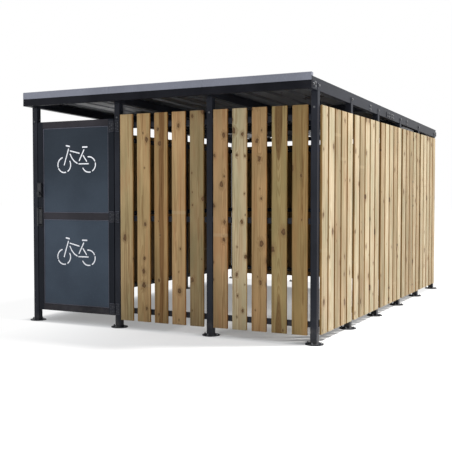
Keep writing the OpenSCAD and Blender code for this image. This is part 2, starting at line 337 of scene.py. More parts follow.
zinc = plated_metal("zinc_plate", (0.20, 0.205, 0.215), 0.42)
dull_zinc = plated_metal("zinc_weathered", (0.15, 0.155, 0.165), 0.5)
dark_bolt = plated_metal("bolt_black", (0.075, 0.078, 0.088), 0.42, metallic=0.6)
pull_black = plated_metal("pull_black", (0.020, 0.021, 0.025), 0.40, metallic=0.2)
lock_black = plated_metal("lock_black", (0.016, 0.0165, 0.020), 0.42, metallic=0.2)
roof_coil = coil_coat("roof_coil_coat", (0.118, 0.124, 0.138))
print("metals ready")

# %% [markdown]
# **Treated pine.** Grain is where a board cuts the tree's rings. So each board carries its
# own place in the tree: how far its middle lies from the pith, how much it leans, how far
# the dark heartwood reaches. Distance from the pith then gives rings, which come out as
# straight lines or pointed arches by themselves, and knots push them aside. These facts are
# stored on each board's points, so the boards are built here, not taken from the model.

# %% Treated pine from the tree's rings
# The width of one year's ring, and half the width of a board
RING = 5.2 * MM
BOARD_HALF = 70 * MM
# How far in from a board's side the painted edge shade and grime reach
EDGE_RIM = 1.5 * MM
SAP_LIGHT = (0.305, 0.228, 0.126, 1)
SAP_DARK = (0.235, 0.186, 0.100, 1)
SAP_RUST = (0.262, 0.168, 0.086, 1)
HEART = (0.160, 0.096, 0.044, 1)
KNOT_HALO = (0.150, 0.086, 0.036, 1)
KNOT_HEART = (0.105, 0.052, 0.021, 1)
KNOT_BARK = (0.048, 0.024, 0.011, 1)
STICKER = (0.330, 0.265, 0.160, 1)
# These colour what is under them, as a filter does
# Warm brown on the boards' narrow faces: painted shade, and a little grime on the eased edges
EDGE_SHADE_AND_GRIME = (0.90, 0.66, 0.38, 1)
SUMMERWOOD = (0.60, 0.45, 0.32, 1)
DARK_STREAK = (0.60, 0.52, 0.44, 1)


def pine():
    material, tree, shader = new_material("treated_pine")
    kinds = {"grain": "Vector", "pith": "Vector", "traits": "Vector", "tint": "Color", "bow": "Fac"}
    grain, pith, traits, tint, bow = [
        add(tree, "Attribute", attribute_name=key).outputs[kind] for key, kind in kinds.items()
    ]
    across, deep, along = parts_of(grain)
    pith_x, pith_y, lean = parts_of(pith)
    heart, knotty, seed = parts_of(traits)

    # A place inside the log that no other board shares
    apart = times(seed, 40.0)
    far_along = times(seed, 17.0)
    shift = follow("CombineXYZ", {0: apart, 1: 0.0, 2: far_along})
    own = follow("VectorMath", {0: grain, 1: shift}, operation="ADD")

    # Knots: one may sit in each cell of a loose net over the face
    flat = follow("CombineXYZ", {
        0: scaled(across, 10.0, apart),
        1: scaled(along, 6.5, apart),
    })
    cells = add(tree, "TexVoronoi", {"Vector": flat, "Scale": 1.0}, voronoi_dimensions="2D")
    chance, size_share, _ = add(tree, "SeparateColor", {0: cells.outputs["Color"]}).outputs[:3]
    present = calc("LESS_THAN", chance, knotty)
    size_share = calc("POWER", size_share, 1.8)
    radius = scaled(size_share, 0.15, 0.045)
    reach = calc("DIVIDE", cells.outputs["Distance"], radius)
    ragged = drawn(own, (70, 70, 45), 2.0)
    reach = waver(reach, ragged, 1.5)
    knot = times(fade(reach, 1.1, 0.75), present)
    halo = times(fade(reach, 2.9, 0.9), present)

    # Distance from a pith that wanders and leans, pushed aside by knots
    wander = drawn(own, (0.2, 0.2, 1.3), 2.0)
    from_x = calc("SUBTRACT", across, pith_x)
    from_x = waver(from_x, wander, 0.05)
    leaning = scaled(lean, along, pith_y)
    bowing = times(times(along, along), bow)
    leaning = calc("ADD", leaning, bowing)
    from_y = calc("SUBTRACT", deep, leaning)
    round_part = times(from_x, from_x)
    distance = calc("SQRT", scaled(from_y, from_y, round_part))
    ripple = drawn(own, (26, 26, 5), 2.0)
    distance = waver(distance, ripple, 0.007)
    distance = scaled(halo, 0.007, distance)

    # Rings: pale springwood darkens to a thin hard line of summerwood
    turn = calc("FRACT", calc("DIVIDE", distance, RING))
    summer = times(fade(turn, 0.25, 0.86), fade(turn, 1.0, 0.9))
    fibre = drawn(own, (420, 420, 9))
    blotch = drawn(own, (7, 7, 1.6))

    # Colour, from the sapwood inwards
    edge = waver(distance, blotch, 0.016)
    hearted = fade(calc("SUBTRACT", edge, heart), 0.005, -0.003)
    sap = mix(fade(blotch, 0.35, 0.65), SAP_LIGHT, SAP_DARK)
    patch = drawn(own, (16, 16, 2.2), 2.0)
    sap = mix(times(fade(patch, 0.5, 0.68), 0.6), sap, SAP_RUST)
    wood = mix(hearted, sap, HEART)
    darker = filtered(wood, SUMMERWOOD)
    wood = mix(times(summer, 0.5), wood, darker)
    wood = filtered(wood, tint)
    aside = calc("ABSOLUTE", across)
    # Painted shade on the narrow faces, with a thin rim of grime on the eased edges
    edge_shade_and_grime = fade(aside, BOARD_HALF - EDGE_RIM, BOARD_HALF - EDGE_RIM / 5)
    wood = mix(edge_shade_and_grime, wood, filtered(wood, EDGE_SHADE_AND_GRIME))
    streak = fade(drawn(own, (60, 60, 1.4)), 0.52, 0.72)
    streaked = filtered(wood, DARK_STREAK)
    wood = mix(times(streak, 0.75), wood, streaked)
    lift = scaled(fibre, 0.42, 0.79)
    lifted = follow("CombineXYZ", {0: lift, 1: lift, 2: lift})
    wood = filtered(wood, lifted)

    # The pale band a stacking stick leaves across some boards
    from_stick = calc("SUBTRACT", along, scaled(seed, 3.4, -2.6))
    band = fade(calc("ABSOLUTE", from_stick), 0.018, 0.011)
    wood = mix(times(band, 0.3), wood, STICKER)
    wood = mix(times(halo, 0.5), wood, KNOT_HALO)
    core = mix(fade(reach, 0.2, 0.9), KNOT_HEART, KNOT_BARK)
    wood = mix(times(knot, 0.92), wood, core)

    dry = scaled(summer, -0.12, 0.68)
    fill(tree, shader, {"Base Color": wood, "Roughness": dry, "Specular IOR Level": 0.15})
    relief = scaled(summer, 0.6, fibre)
    relief = scaled(knot, 0.8, relief)
    roughen(tree, shader, relief, 0.0005)
    return material


pine_wood = pine()
print("pine has", len(pine_wood.node_tree.nodes), "nodes")

# %% [markdown]
# New pieces are drawn into a bmesh, Blender's editable mesh. A few shapes cover this
# object: a box with eased edges, a profile turned round an axis, and a flat outline given
# a thickness. One helper turns a bmesh into a piece that rides on its body and takes its material.

# %% Helpers for shapes
def finish_piece(name, shape, material, body="shelter", smooth=35):
    """Makes a piece of a bmesh, with soft shading up to an angle in degrees."""
    mesh = bpy.data.meshes.new(name)
    bmesh.ops.recalc_face_normals(shape, faces=shape.faces)
    shape.to_mesh(mesh)
    shape.free()
    mesh.materials.append(material)
    mesh.shade_smooth()
    mesh.set_sharp_from_angle(angle=math.radians(smooth))
    piece = new_object(name, mesh)
    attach(piece, body)
    return piece


def add_box(shape, low, high, ease=0.0, place=None):
    """A box between two corners, its edges rounded by ease."""
    low, high = Vector(low), Vector(high)
    size = Matrix.Diagonal((*(high - low), 1))
    made = bmesh.ops.create_cube(shape, matrix=Matrix.Translation((low + high) / 2) @ size)
    verts = made["verts"]
    if place is not None:
        bmesh.ops.transform(shape, matrix=place, verts=verts)
    if ease:
        edges = list({edge for vert in verts for edge in vert.link_edges})
        bmesh.ops.bevel(shape, geom=edges, offset=ease, segments=2, affect="EDGES", profile=0.5)


def bridge(shape, lower, upper):
    """A band of faces between two closed loops of as many points."""
    for k in range(len(lower)):
        after = (k + 1) % len(lower)
        shape.faces.new((lower[k], lower[after], upper[after], upper[k]))


def add_turned(shape, profile, place, steps=16):
    """A profile of (radius, height) points turned round the z axis of place."""
    rings = []
    for radius, height in profile:
        ring = []
        count = 1 if radius == 0 else steps
        for k in range(count):
            angle = math.tau * k / steps
            point = Vector((radius * math.cos(angle), radius * math.sin(angle), height))
            ring.append(shape.verts.new(place @ point))
        rings.append(ring)
    for lower, upper in zip(rings, rings[1:]):
        for k in range(steps):
            corners = [lower[k % len(lower)], lower[(k + 1) % len(lower)]]
            corners += [upper[(k + 1) % len(upper)], upper[k % len(upper)]]
            unique = list(dict.fromkeys(corners))
            if len(unique) > 2:
                shape.faces.new(unique)
    if len(rings[0]) > 1:
        shape.faces.new(reversed(rings[0]))
    if len(rings[-1]) > 1:
        shape.faces.new(rings[-1])


def add_slab(shape, outline, thickness, place):
    """A flat outline of (x, y) points given a thickness along z, in place."""
    lower = [shape.verts.new(place @ Vector((x, y, 0))) for x, y in outline]
    upper = [shape.verts.new(place @ Vector((x, y, thickness))) for x, y in outline]
    shape.faces.new(lower[::-1])
    shape.faces.new(upper)
    bridge(shape, lower, upper)


AHEAD = (0, -1, 0)


def facing(point, direction):
    """A place at point whose z axis looks along direction."""
    turn = Vector(direction).to_track_quat("Z", "Y").to_matrix().to_4x4()
    return Matrix.Translation(Vector(point)) @ turn


print("shape helpers ready")

# %% [markdown]
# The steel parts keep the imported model's shapes. Real steel has no knife edges, so each
# gets a small rounding that catches the light. The imported faces are separate; a Weld
# modifier joins them first so that Bevel finds the edges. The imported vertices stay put.

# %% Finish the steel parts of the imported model
FINISHES = [
    (FRONT_POSTS + ["left_posts", "right_posts", "rear_posts"], frame_coat, 4.0),
    (["left_beam", "right_beam", "rear_beam", "rafters", "purlins"], frame_coat, 3.0),
    (["front_beam"], front_beam_shade_coat, 3.0),
    (["front_rails", "left_rails", "right_rails", "rear_rails"], frame_coat, 2.0),
    (["foot_plates"], frame_coat, 0.0),
    (["beam_lugs", "roof_side_trims"], frame_coat, 0.4),
    (["roof_sheets"], roof_coil, 0.0),
    (["front_fascia"], fascia_coat, 0.5),
    (["door_frame"], door_coat, 2.0),
    (["door_panel_upper", "door_panel_lower"], panel_coat, 0.0),
    (["post_hinges", "door_hinges"], hinge_coat, 0.8),
    (["door_pull"], pull_black, 1.0),
    (["door_lock"], lock_black, 2.5),
]


def ease_edges(item, radius):
    """Joins an imported mesh's faces and rounds its sharp edges."""
    weld = item.modifiers.new("join_faces", "WELD")
    weld.merge_threshold = 0.02 * MM
    bevel = item.modifiers.new("ease_edges", "BEVEL")
    bevel.width = radius * MM
    bevel.segments = 2
    bevel.limit_method = "ANGLE"
    bevel.angle_limit = math.radians(40)


for names, finish, rounding in FINISHES:
    for name in names:
        item = nodes[name]
        item.data.materials.clear()
        item.data.materials.append(finish)
        if rounding:
            ease_edges(item, rounding)
print("finished", sum(len(names) for names, _, _ in FINISHES), "packed parts")

# %% [markdown]
# Boards come next, since they are most of what is seen. Each packed board node holds the
# boards of one bay, and its edges say where each starts and ends. Every new board has eased
# edges and stores its own facts. The ten front boards are picked one by one, as a carpenter
# would: pale or orange, plain or with a heart streak. The rest are dealt from a seeded
# shuffle, so each run gives the same wall.

# %% Facts of each board
# Tints, which the wood's own colour is multiplied by
PALE = (1.00, 1.00, 1.00)
ORANGE = (1.12, 0.96, 0.86)
APRICOT = (1.21, 1.06, 0.94)
RUSSET = (1.00, 0.86, 0.74)
OLIVE = (0.84, 0.84, 0.68)
SEDGE = (1.26, 1.24, 1.16)
MOSS = (0.78, 0.78, 0.72)
GREENISH = (1.35, 1.49, 1.68)
BROWN = (0.96, 0.84, 0.66)
UMBER = (0.80, 0.72, 0.54)
STRAW = (1.20, 1.10, 0.96)
CREAM = (1.20, 1.33, 1.60)
SAND = (0.98, 1.02, 1.12)
HONEY = (1.08, 1.13, 1.26)
IVORY = (1.42, 1.60, 1.98)
# Left and rear boards take painted shade on their inner faces, a darker tint for the dark
# inside of the shelter; their outer faces take ordinary tints
INNER_PAINTED_SHADE = (0.70, 0.56, 0.36)
OUTER_TINTS = [OLIVE, STRAW, PALE, ORANGE, SEDGE]
TINTS = {
    "front": [PALE, OLIVE, ORANGE, STRAW, GREENISH, BROWN],
    # The right wall's paler, bluer tints are painted sunlight: the lit wall looks paler and less
    # yellow
    "right": [CREAM, SAND, IVORY, HONEY, IVORY, CREAM],
    "left": [INNER_PAINTED_SHADE],
    "rear": [INNER_PAINTED_SHADE],
}

# tint, pith aside, pith behind, lean, bow, heart reach (all in metres), share of net cells
# that hold a knot
HAND_PICKED = {
    "front_boards_2": [
        (SEDGE, 0.020, 0.060, 0.004, 0.0, 0.030, 0.26),
        (STRAW, -0.010, 0.050, -0.010, 0.01, 0.030, 0.50),
        (BROWN, 0.006, 0.022, 0.004, 0.0, 0.040, 0.30),
        (APRICOT, -0.030, 0.055, 0.006, 0.0, 0.040, 0.50),
        (MOSS, 0.012, 0.036, 0.003, 0.0, 0.030, 0.24),
    ],
    "front_boards_3": [
        (ORANGE, 0.040, 0.055, -0.006, 0.0, 0.046, 0.40),
        (GREENISH, -0.030, 0.070, 0.004, 0.0, 0.020, 0.70),
        (RUSSET, 0.002, 0.048, 0.003, 0.0, 0.040, 0.62),
        (OLIVE, -0.004, 0.045, 0.0078, 0.06, 0.033, 0.10),
        (UMBER, 0.030, 0.048, 0.006, 0.0, 0.034, 0.28),
    ],
}
dealt = random.Random(41)


def dealt_facts(wall):
    """The facts of one board from the shuffle."""
    tint = dealt.choice(TINTS[wall])
    aside = dealt.uniform(-0.045, 0.045)
    behind = dealt.uniform(0.036, 0.085)
    lean = dealt.uniform(-0.022, 0.022)
    bow = dealt.uniform(-0.006, 0.012)
    heart = dealt.uniform(0.010, 0.040)
    knotty = dealt.uniform(0.08, 0.42)
    return tint, aside, behind, lean, bow, heart, knotty


def board_spans(name, axis):
    """Where each board of a bay starts and ends along one axis."""
    edges = sorted({round(vertex.co[axis], 4) for vertex in nodes[name].data.vertices})
    return list(zip(edges[::2], edges[1::2]))


print("boards in the second front bay:", len(board_spans("front_boards_2", 0)))

# %% Build the boards
EASE = 2.5 * MM
# Boards never lie quite level: each stands back from the outer face by up to this
SET_BACK = 0.6 * MM


def add_board(shape, layers, low, high, facts, axis, outward):
    """One board with eased edges, its facts stored on its points."""
    before = set(shape.verts)
    lift = dealt.uniform(-SET_BACK, 0) * outward
    shove = Vector((0, lift, 0)) if axis == 0 else Vector((lift, 0, 0))
    add_box(shape, low + shove, high + shove, ease=EASE)
    tint, aside, behind, lean, bow, heart, knotty = facts
    seed = dealt.random()
    # Left and rear boards: painted shade on the inner side, an ordinary tint on the outer side
    outer = OUTER_TINTS[int(seed * len(OUTER_TINTS))] if tint == INNER_PAINTED_SHADE else tint
    centre = (low + high) / 2
    shade = dealt.uniform(0.95, 1.05)
    for vert in shape.verts:
        if vert in before:
            continue
        from_centre = vert.co - centre
        across = from_centre[axis]
        deep = from_centre[1 - axis] * outward
        vert[layers["grain"]] = Vector((across, deep, from_centre.z))
        vert[layers["pith"]] = Vector((aside, -behind, lean))
        vert[layers["bow"]] = bow
        vert[layers["traits"]] = Vector((heart, knotty, seed))
        side = outer if deep > 0 else tint
        vert[layers["tint"]] = Vector((*[channel * shade for channel in side], 1))


def build_boards(name, axis, outward):
    """A piece with all boards of one bay; axis runs along the wall, outward is its side."""
    shape = bmesh.new()
    vectors = shape.verts.layers.float_vector
    layers = {key: vectors.new(key) for key in ("grain", "pith", "traits")}
    layers["tint"] = shape.verts.layers.float_color.new("tint")
    layers["bow"] = shape.verts.layers.float.new("bow")
    low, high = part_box(name)
    picked = HAND_PICKED.get(name)
    spans = board_spans(name, axis)
    for k, (start, end) in enumerate(spans):
        board_low, board_high = low.copy(), high.copy()
        board_low[axis], board_high[axis] = start, end
        facts = picked[k] if picked and k < len(picked) else dealt_facts(name.split("_")[0])
        add_board(shape, layers, board_low, board_high, facts, axis, outward)
    piece = finish_piece(name.replace("boards", "planks"), shape, pine_wood, "shelter")
    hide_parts(name)
    return len(spans)


# Each wall, the axis it runs along, and the side it faces on the other axis
WALLS = [("front", 0, -1), ("rear", 0, 1), ("left", 1, -1), ("right", 1, 1)]
boards = 0
for wall, axis, outward in WALLS:
    for name in bays_of(wall):
        boards += build_boards(name, axis, outward)
print("built", boards, "boards")

# %% [markdown]
# Bolted and welded steel looks right only with its fasteners. One bolt is drawn once as a
# turned washer and a six-sided head, then stamped wherever the model's boxes say a beam,
# a lug or a foot is fastened. All bolts of one kind become a single piece.

# %% Bolts, nuts and screws
def add_bolt(shape, place, size):
    """A washer and a chamfered hexagon head for a bolt of that thread size."""
    top = size * 0.2
    washer = [(size * 1.05, 0), (size * 1.05, size * 0.14), (size * 0.98, top), (0, top)]
    add_turned(shape, washer, place, 24)
    crown = size * 0.85
    head = [(size * 0.92, top), (size * 0.92, crown * 0.86), (size * 0.8, crown), (0, crown)]
    add_turned(shape, head, place, 6)


def add_nut_and_stud(shape, place, size):
    """A washer, a nut and the end of the stud that stands through it."""
    add_bolt(shape, place, size)
    tip = size * 1.62
    stud = [(size * 0.5, size * 0.6), (size * 0.5, size * 1.5), (size * 0.4, tip), (0, tip)]
    add_turned(shape, stud, place, 16)


def add_screw(shape, place, size):
    """A low domed screw head."""
    dome = [(size * 0.5, 0), (size * 0.48, size * 0.14), (size * 0.34, size * 0.24), (0, size * 0.28)]
    add_turned(shape, dome, place, 12)


def on_roof(x, back, up):
    """A point of the roof's frame in the shelter's frame."""
    return roof_frame @ Vector((x, back, up))


beam_rise = on_roof(0, 0, 0).z
lug_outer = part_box("beam_lugs")[1].x
whole_run = (rear_y - front_y) / back_along.y
purlin_runs = [whole_run / 3, whole_run * 2 / 3]
print("roof runs", round(whole_run, 3), "m back from the front posts")

# %% [markdown]
# Where the bolts go: one through each lug into the beam, a group of three at each front
# corner, a pair where each cross member meets the outer beam, and a splice halfway along,
# where a long beam is bolted together from two lengths.

# %% Bolt up the roof frame
BEAM_BOLT = 12 * MM
SMALL_BOLT = BEAM_BOLT * 0.8
LUG_BOLT_UP = 44 * MM
PAIR_UP = (20 * MM, 54 * MM)
# The group at the front corner: back from the post's axis, and up
CORNER_GROUP = ((-84 * MM, 55 * MM), (-84 * MM, 26 * MM), (-125 * MM, 40 * MM))
SPLICE_HALF = 150 * MM
SPLICE_T = 2.5 * MM
SPLICE_BOLTS = (-120 * MM, -50 * MM, 50 * MM, 120 * MM)
POST_BOLT_DOWN = 138 * MM
beam_bolts = bmesh.new()
for side in (-1, 1):
    outward = (side, 0, 0)
    bays = SIDE_BAYS if side > 0 else LEFT_BAYS
    for j in range(bays + 1):
        spot = on_roof(side * lug_outer, whole_run * j / bays, LUG_BOLT_UP)
        add_bolt(beam_bolts, facing(spot, outward), BEAM_BOLT)
    for back, up in CORNER_GROUP:
        add_bolt(beam_bolts, facing(on_roof(side * beam_out, back, up), outward), BEAM_BOLT)
    for run in purlin_runs:
        for up in PAIR_UP:
            add_bolt(beam_bolts, facing(on_roof(side * beam_out, run, up), outward), BEAM_BOLT)
    for shift in SPLICE_BOLTS:
        for up in PAIR_UP:
            spot = on_roof(side * (beam_out + SPLICE_T), whole_run / 2 + shift, up)
            add_bolt(beam_bolts, facing(spot, outward), SMALL_BOLT)
finish_piece("beam_bolts", beam_bolts, zinc)

post_bolts = bmesh.new()
for x in post_x:
    spot = Vector((x, front_face, beam_rise - POST_BOLT_DOWN))
    add_bolt(post_bolts, facing(spot, AHEAD), SMALL_BOLT)
finish_piece("post_bolts", post_bolts, dull_zinc)

splices = bmesh.new()
for side in (-1, 1):
    plate_in, plate_out = sorted((side * beam_out, side * (beam_out + SPLICE_T)))
    low = (plate_in, whole_run / 2 - SPLICE_HALF, 8 * MM)
    high = (plate_out, whole_run / 2 + SPLICE_HALF, 68 * MM)
    add_box(splices, low, high, ease=0.6 * MM, place=roof_frame)
finish_piece("beam_splice_plates", splices, frame_coat)
print("roof frame bolted")

# %% [markdown]
# Under the roof, folded cleats join rafters to the front and rear beams and cross members
# to the rafters. They are short angles: two thin legs at a right angle, a bolt in each.

# %% Cleats under the roof
CLEAT = 46 * MM
CLEAT_T = 4 * MM
CLEAT_UP = (8 * MM, 66 * MM)
rafter_half = (beam_out - beam_in) / 2
front_beam_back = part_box("front_beam")[1].y
cleats = bmesh.new()
cleat_bolts = bmesh.new()


def add_cleat(x, back, across, along):
    """An angle in the corner at (x, back); across and along are +1 or -1, away from it."""
    for reach_x, reach_y in ((CLEAT, CLEAT_T), (CLEAT_T, CLEAT)):
        spans = (sorted((x, x + across * reach_x)), sorted((back, back + along * reach_y)), CLEAT_UP)
        add_box(cleats, *zip(*spans), ease=0.5 * MM, place=roof_frame)
    middle_up = sum(CLEAT_UP) / 2
    spot = on_roof(x + across * CLEAT_T, back + along * CLEAT * 0.6, middle_up)
    add_bolt(cleat_bolts, facing(spot, (across, 0, 0)), 8 * MM)
    spot = on_roof(x + across * CLEAT * 0.6, back + along * CLEAT_T, middle_up)
    add_bolt(cleat_bolts, facing(spot, back_along * along), 8 * MM)


front_run = (front_beam_back - front_y) / back_along.y
rear_run = (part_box("rear_beam")[0].y - front_y) / back_along.y
at_ends = [(front_run, 1), (rear_run - 1 * MM, -1)]
at_purlins = [(run + side * rafter_half, side) for run in purlin_runs for side in (-1, 1)]
for across in (-1, 1):
    for x in post_x[1:-1]:
        for back, along in at_ends + at_purlins:
            add_cleat(x + across * rafter_half, back, across, along)
    for back, along in at_ends[:1] + at_purlins:
        add_cleat(-across * beam_in, back, across, along)
finish_piece("roof_cleats", cleats, frame_coat)
finish_piece("cleat_bolts", cleat_bolts, zinc)
print("cleats fitted")

# %% [markdown]
# The roof sheets are screwed through the crests of their ribs, where rain can't stand, at
# every beam they cross. Each screw has a wide washer with a rubber seal under it.

# %% Roof screws
sheet_low, sheet_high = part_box("roof_sheets")
RIBS = 5
CREST = 104 * MM
sheet_edges = [sheet_low.x, post_x[1], post_x[2], sheet_high.x]
OVER_BEAM = 20 * MM
screw_runs = [front_run - OVER_BEAM, *purlin_runs, rear_run + OVER_BEAM]
roof_screws = bmesh.new()
WASHER = [(10 * MM, 0), (9 * MM, 1.6 * MM), (5.5 * MM, 2.4 * MM), (5.5 * MM, 2.6 * MM), (0, 2.6 * MM)]
SCREW_HEAD = [(4.2 * MM, 2.5 * MM), (4.2 * MM, 6 * MM), (0, 6.4 * MM)]
for start, end in zip(sheet_edges, sheet_edges[1:]):
    for k in range(1, RIBS):
        x = start + (end - start) * k / RIBS
        for run in screw_runs:
            place = roof_frame @ Matrix.Translation((x, run, CREST))
            add_turned(roof_screws, WASHER, place, 14)
            add_turned(roof_screws, SCREW_HEAD, place, 6)
finish_piece("roof_screws", roof_screws, zinc, "shelter")
print("roof screwed down")

# %% [markdown]
# Each post is welded to its round foot. A weld is a row of overlapping ripples that slopes
# from plate to tube, so it is modelled as a ring of small steps that swell and sink.
# Four anchor bolts then hold each foot down.

# %% Welds round the feet
WELD = 7 * MM
WELD_STEPS = 120
RIPPLES = 30
RIPPLE = 0.55 * MM
ROUND_OFF = 0.82


def square_point(angle, half):
    """A point on a square with softened corners, by angle."""
    c, s = math.cos(angle), math.sin(angle)
    reach = half / max(abs(c), abs(s))
    reach = min(reach, half * math.sqrt(2) * ROUND_OFF + half * 0.12)
    return Vector((reach * c, reach * s, 0))


def add_foot_weld(shape, centre, half):
    """A rippled bead round a square post where it stands on its plate."""
    rings = [(WELD, 0.0, 1.0), (WELD * 0.5, WELD * 0.62, 0.6), (-0.6 * MM, WELD * 1.05, 0.3)]
    loops = []
    for out, up, swell in rings:
        loop = []
        for k in range(WELD_STEPS):
            angle = math.tau * k / WELD_STEPS
            ripple = RIPPLE * swell * math.sin(angle * RIPPLES)
            point = square_point(angle, half + out + ripple)
            loop.append(shape.verts.new(centre + point + Vector((0, 0, up))))
        loops.append(loop)
    for lower, upper in zip(loops, loops[1:]):
        bridge(shape, lower, upper)


foot_spots = [Vector((x, y, foot_top)) for x in post_x for y in (front_y, rear_y)]
foot_spots += [Vector((post_x[-1], y, foot_top)) for y in post_y[1:-1]]
left_step = (rear_y - front_y) / LEFT_BAYS
foot_spots += [Vector((post_x[0], front_y + left_step * j, foot_top)) for j in range(1, LEFT_BAYS)]
welds = bmesh.new()
anchors = bmesh.new()
ANCHOR_RING = 62 * MM
ANCHOR = 10 * MM
for spot in foot_spots:
    add_foot_weld(welds, spot, POST / 2)
    for quarter in range(4):
        angle = math.tau * quarter / 4
        hole = spot + Vector((ANCHOR_RING * math.cos(angle), ANCHOR_RING * math.sin(angle), 0))
        turn = Matrix.Rotation(dealt.uniform(0, math.tau / 6), 4, "Z")
        add_nut_and_stud(anchors, Matrix.Translation(hole) @ turn, ANCHOR)
finish_piece("foot_welds", welds, frame_coat, smooth=70)
finish_piece("anchor_bolts", anchors, dull_zinc)
print("feet welded and anchored:", len(foot_spots))

# %% [markdown]
# The boards are screwed from inside, through the rails, so that the outside stays clean:
# two screws to a board at each rail.

# %% Screws that hold the boards
rail_levels = board_spans("front_rails", 2)
SCREW_IN = 34 * MM
BOARD_SCREW = 13 * MM
for wall, axis, outward in WALLS:
    board_screws = bmesh.new()
    rail_low, rail_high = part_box(wall + "_rails")
    inner = rail_low[1 - axis] if outward > 0 else rail_high[1 - axis]
    normal = Vector((0, 0, 0))
    normal[1 - axis] = -outward
    for name in bays_of(wall):
        for start, end in board_spans(name, axis):
            for low_edge, high_edge in rail_levels:
                for side in (start + SCREW_IN, end - SCREW_IN):
                    spot = Vector((0, 0, (low_edge + high_edge) / 2))
                    spot[axis] = side
                    spot[1 - axis] = inner
                    add_screw(board_screws, facing(spot, normal), BOARD_SCREW)
    finish_piece(wall + "_board_screws", board_screws, zinc)
print("boards screwed to their rails")

# %% [markdown]
# The door leaf is a welded frame with sheet panels held by slim beads. A bead is mitred at
# its corners like a picture frame; it is drawn as one rounded strip swept round the panel.

# %% Beads round the door panels
BEAD_W = 9 * MM
BEAD_STEPS = 6


def add_bead(shape, low_x, high_x, low_z, high_z, y, towards):
    """A half-round bead round the inside of an opening; towards is its proud side in y."""
    corners = [(low_x, low_z, 1, 1), (high_x, low_z, -1, 1)]
    corners += [(high_x, high_z, -1, -1), (low_x, high_z, 1, -1)]
    loops = []
    for k in range(BEAD_STEPS + 1):
        angle = math.pi * k / BEAD_STEPS
        out = BEAD_W / 2 * (1 - math.cos(angle))
        rise = BEAD_W * 0.62 * math.sin(angle)
        loop = []
        for x, z, inward_x, inward_z in corners:
            point = Vector((x + inward_x * out, y + towards * rise, z + inward_z * out))
            loop.append(shape.verts.new(point))
        loops.append(loop)
    for lower, upper in zip(loops, loops[1:]):
        bridge(shape, lower, upper)


beads = bmesh.new()
for name in ("door_panel_upper", "door_panel_lower"):
    low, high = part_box(name)
    add_bead(beads, low.x, high.x, low.z, high.z, low.y, -1)
    add_bead(beads, low.x, high.x, low.z, high.z, high.y, 1)
finish_piece("door_beads", beads, bead_coat, "door", smooth=60)
print("beads fitted")

# %% [markdown]
# The sign on each panel is a bicycle cut in strokes, as a stencil leaves it: each stroke
# is a strip of even width with round ends, laid out with simple lines and arcs, and gaps
# keep the strokes apart.

# %% Bicycle signs
STROKE = 11.5 * MM
FILM = 0.5 * MM
WHEEL = 81 * MM
HUBS = ((-0.155, 0.088), (0.152, 0.088))
END_STEPS = 7


def strip_outline(path, width):
    """The outline of a strip of even width along a path, with round ends."""
    points = [Vector(point) for point in path]
    ways = [(b - a).normalized() for a, b in zip(points, points[1:])]
    sides = [ways[0]] + [(a + b).normalized() for a, b in zip(ways, ways[1:])] + [ways[-1]]
    left, right = [], []
    for point, way in zip(points, sides):
        normal = Vector((-way.y, way.x)) * width / 2
        left.append(point + normal)
        right.append(point - normal)
    outline = list(right)
    for end, way, spread in ((points[-1], ways[-1], left), (points[0], -ways[0], None)):
        start_angle = math.atan2(way.y, way.x) - math.pi / 2
        for k in range(1, END_STEPS):
            angle = start_angle + math.pi * k / END_STEPS
            outline.append(end + Vector((math.cos(angle), math.sin(angle))) * width / 2)
        if spread:
            outline += spread[::-1]
    return [(point.x, point.y) for point in outline]


def arc(centre, radius, start, end):
    """Points on an arc, from start to end in degrees."""
    count = max(4, int(abs(end - start) / 7))
    angles = [math.radians(start + (end - start) * k / count) for k in range(count + 1)]
    return [(centre[0] + radius * math.cos(a), centre[1] + radius * math.sin(a)) for a in angles]


FRONT_HUB, REAR_HUB = HUBS
SIGN_STROKES = [
    arc(FRONT_HUB, WHEEL, 108, 194),
    arc(FRONT_HUB, WHEEL, 208, 282),
    arc(FRONT_HUB, WHEEL, 304, 388),
    arc(REAR_HUB, WHEEL, 96, 26),
    arc(REAR_HUB, WHEEL, 10, -56),
    arc(REAR_HUB, WHEEL, -78, -152),
    [FRONT_HUB, (-0.100, 0.256)],
    [(-0.126, 0.292), (-0.088, 0.284)],
    [(-0.078, 0.236), (0.034, 0.209)],
    [(-0.080, 0.202), (-0.058, 0.160), (-0.026, 0.124), (0.008, 0.103)],
    [(0.092, 0.242), (0.034, 0.130)],
    [(0.078, 0.272), (0.130, 0.272)],
    [(0.084, 0.182), (0.126, 0.122)],
    [(0.030, 0.096), (0.146, 0.096)],
]
# Thicker strokes for the handlebar, which lies above this height
BAR_HEIGHT = 0.27
BAR_STROKE = STROKE * 1.25
# The strokes are scaled by these; then the sign is lifted and moved from the panel's middle
SIGN_WIDE = 0.975
SIGN_TALL = 0.93
SIGN_HEIGHT = 0.297 * SIGN_TALL
SIGN_LIFT = 0.110
SIGN_ASIDE = {"door_panel_upper": 14 * MM, "door_panel_lower": 4 * MM}


def sign_paint():
    material, tree, shader = new_material("sign_white")
    place = add(tree, "TexCoord").outputs["Object"]
    stain = cloud(place, 30.0, 5.0)
    white = mix(fade(stain, 0.4, 0.75), (0.74, 0.75, 0.79, 1), (0.66, 0.67, 0.71, 1))
    fill(tree, shader, {"Base Color": white, "Roughness": scaled(stain, 0.2, 0.4)})
    return material


